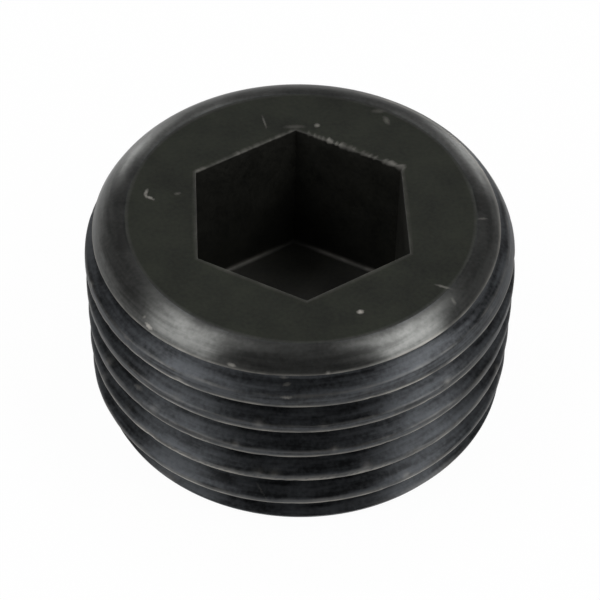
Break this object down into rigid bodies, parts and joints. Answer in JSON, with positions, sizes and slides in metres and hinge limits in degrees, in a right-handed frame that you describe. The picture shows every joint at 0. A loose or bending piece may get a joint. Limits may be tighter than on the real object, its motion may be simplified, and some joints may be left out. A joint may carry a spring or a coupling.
{
  "type": "hex socket plug",
  "caption": "Black steel screw plug with a right-hand taper pipe thread, a rounded shoulder and a hexagon socket in its top face.",
  "frame": {"origin": "centre of the plain end face, on the thread's axis", "axes": "+Z along the axis and out of the hexagon socket, Y through two corners of the hexagon"},
  "size_m": [0.021, 0.021, 0.011],
  "materials": {
    "blackened_steel": "black oxide over turned and threaded steel, matt on the end faces and in the socket, satin on the shoulder, worn a little lighter on the thread crests"
  },
  "bodies": {
    "root": {"plug_body": "blackened_steel"}
  },
  "joints": []
}
